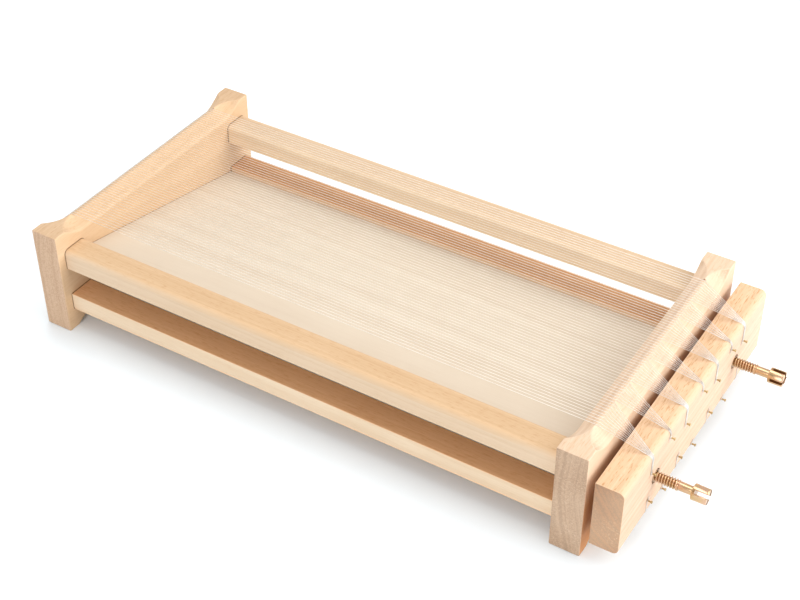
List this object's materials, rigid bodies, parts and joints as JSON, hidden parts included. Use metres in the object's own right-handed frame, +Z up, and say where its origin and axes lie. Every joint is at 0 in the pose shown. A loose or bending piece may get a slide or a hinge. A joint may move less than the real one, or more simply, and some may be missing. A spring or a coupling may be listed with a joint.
{
  "type": "stringed pasta cutter",
  "caption": "Wooden frame with fine steel strings over both faces, a sloping catch board between them, and a tension bar pushed out by two screws.",
  "frame": {"origin": "centre of the bounding box's bottom face, in the plane of the feet", "axes": "+X along the strings towards the tension bar and its screws, +Y to the back, where the upper side of the catch board slopes down, +Z up"},
  "size_m": [0.4772, 0.217, 0.08],
  "materials": {
    "end_board_beech": "fine sanded, unvarnished",
    "rail_beech": "fine sanded, unvarnished",
    "bar_beech": "fine sanded, unvarnished",
    "catch_board_wood": "smooth pale board",
    "dowel_wood": "turned",
    "string_steel": "bright drawn wire",
    "pin_steel": "plain",
    "pin_brass": "dull brass plating",
    "screw_brass": "machined",
    "plate_steel": "plain"
  },
  "bodies": {
    "frame": {"fixed_end_board": "end_board_beech", "tension_end_board": "end_board_beech", "front_upper_rail": "rail_beech", "front_lower_rail": "rail_beech", "rear_upper_rail": "rail_beech", "rear_lower_rail": "rail_beech", "ramp_board": "catch_board_wood", "fixed_end_dowels": "dowel_wood", "tension_end_dowels": "dowel_wood", "upper_loop_pins": "pin_steel", "lower_loop_pins": "pin_steel", "upper_strings": "string_steel", "lower_strings": "string_steel", "upper_string_loops": "string_steel", "lower_string_loops": "string_steel", "front_thrust_plate": "plate_steel", "rear_thrust_plate": "plate_steel"},
    "bar": {"tension_bar": "bar_beech", "upper_bar_pins": "pin_brass", "lower_bar_pins": "pin_brass", "front_screw_insert": "screw_brass", "rear_screw_insert": "screw_brass", "upper_string_fans": "string_steel", "lower_string_fans": "string_steel"},
    "front_screw": {"front_tension_screw": "screw_brass"},
    "rear_screw": {"rear_tension_screw": "screw_brass"}
  },
  "joints": [
    {"name": "front_screw_turn", "type": "hinge", "parent": "frame", "child": "front_screw", "pos_m": [0.19, -0.0611, 0.04], "axis": [1, 0, 0], "range_deg": [-720, 720]},
    {"name": "rear_screw_turn", "type": "hinge", "parent": "frame", "child": "rear_screw", "pos_m": [0.19, 0.0611, 0.0388], "axis": [1, 0, 0], "range_deg": [-720, 720]},
    {"name": "bar_slide", "type": "slide", "parent": "frame", "child": "bar", "axis": [1, 0, 0], "range_m": [-0.003, 0.003], "deforming": ["upper_string_fans", "lower_string_fans"]}
  ],
  "couplings": [
    {"joint": "front_screw_turn", "follows": "bar_slide", "rad_per_m": -3590.4},
    {"joint": "rear_screw_turn", "follows": "bar_slide", "rad_per_m": -3590.4}
  ]
}
